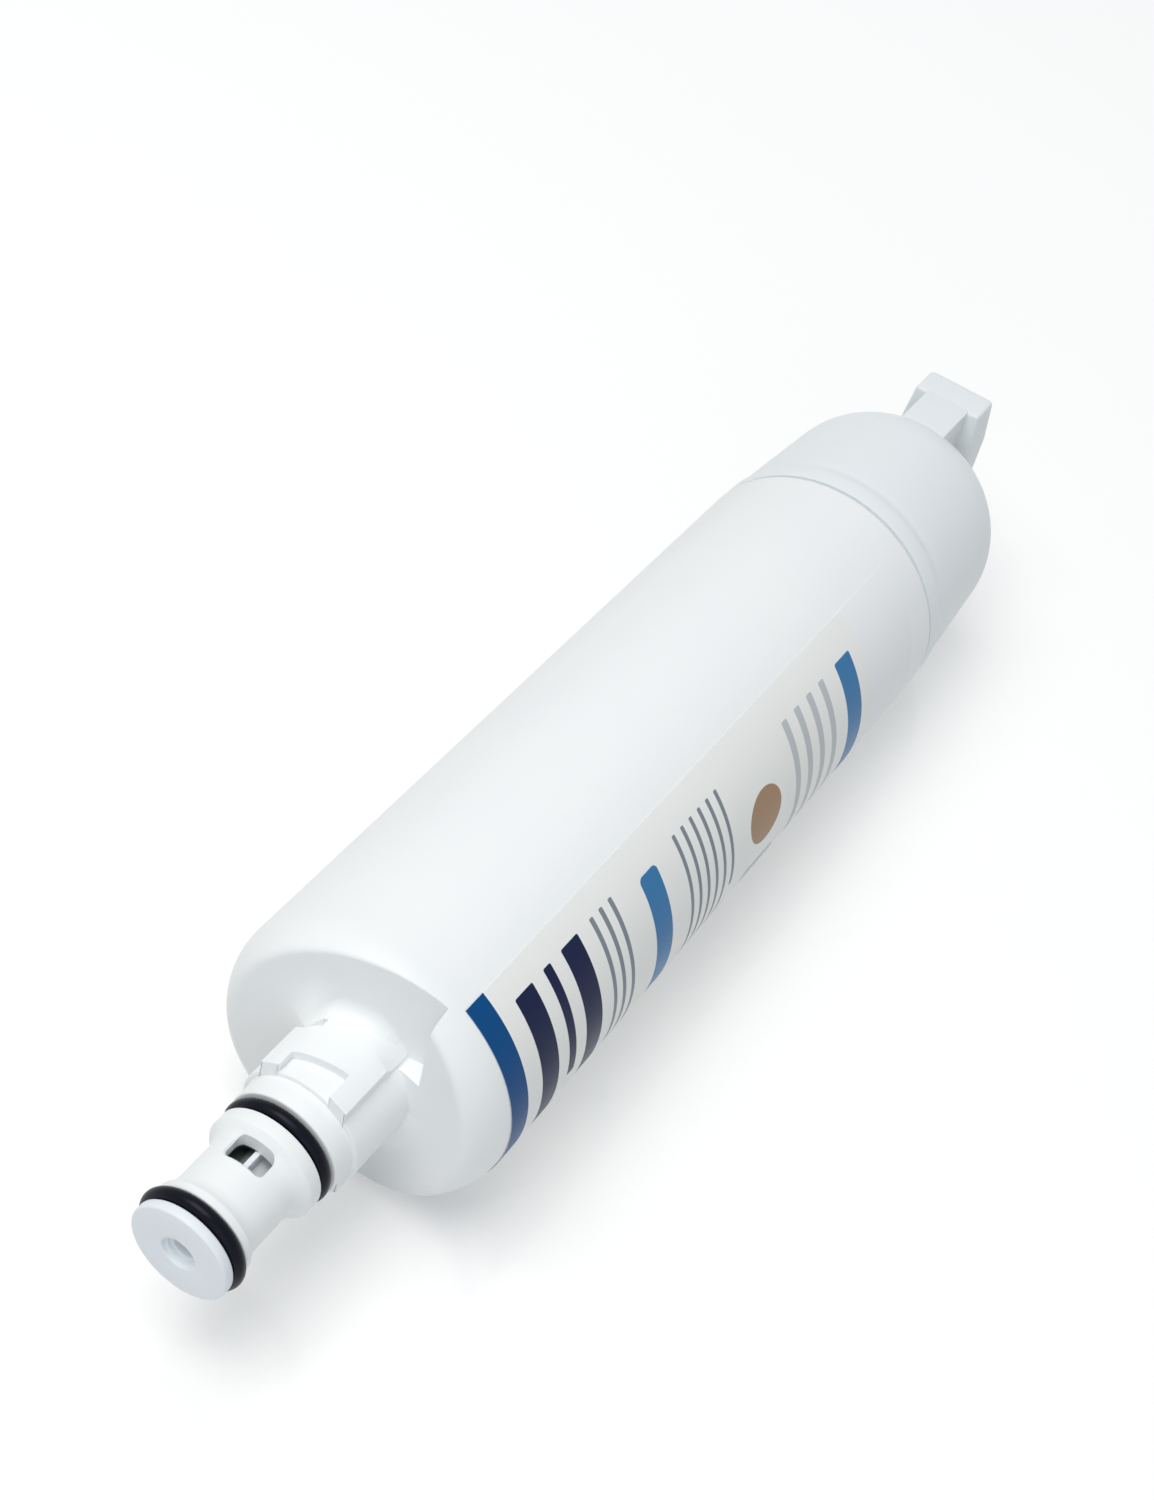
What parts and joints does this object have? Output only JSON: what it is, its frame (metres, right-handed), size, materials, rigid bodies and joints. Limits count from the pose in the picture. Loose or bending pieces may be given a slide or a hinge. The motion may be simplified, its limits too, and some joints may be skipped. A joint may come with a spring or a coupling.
{
  "type": "fridge water filter cartridge",
  "caption": "Sealed round cartridge with a double-seal spigot, bayonet lugs, cam shoulder and a rail for its knob, that filters a fridge's drinking water.",
  "frame": {"origin": "on the cartridge's axis, at the middle of the sealing land in front of the bayonet collar", "axes": "+X along the axis from the spigot to the end cap, +Z through the middle of the upper bayonet lug"},
  "size_m": [0.2751, 0.0571, 0.0571],
  "materials": {
    "housing_plastic": "satin moulded white",
    "cap_plastic": "satin moulded white",
    "insert_plastic": "satin moulded white",
    "seal_rubber": "lubricated, glossy",
    "label_film": "printed film with a plain stripe and plain bars",
    "carbon": "sintered, rough",
    "wrap_fabric": "non-woven",
    "net_plastic": "extruded net",
    "element_plastic": "moulded, untreated",
    "set_adhesive": "set hot-melt"
  },
  "bodies": {
    "root": {"canister": "housing_plastic", "end_cap": "cap_plastic", "outlet_insert": "insert_plastic", "front_o_ring": "seal_rubber", "rear_o_ring": "seal_rubber", "element_o_ring": "seal_rubber", "label": "label_film", "carbon_block": "carbon", "prefilter_wrap": "wrap_fabric", "netting_sleeve": "net_plastic", "front_element_cap": "element_plastic", "rear_element_cap": "element_plastic", "front_bond": "set_adhesive", "rear_bond": "set_adhesive"}
  },
  "joints": []
}
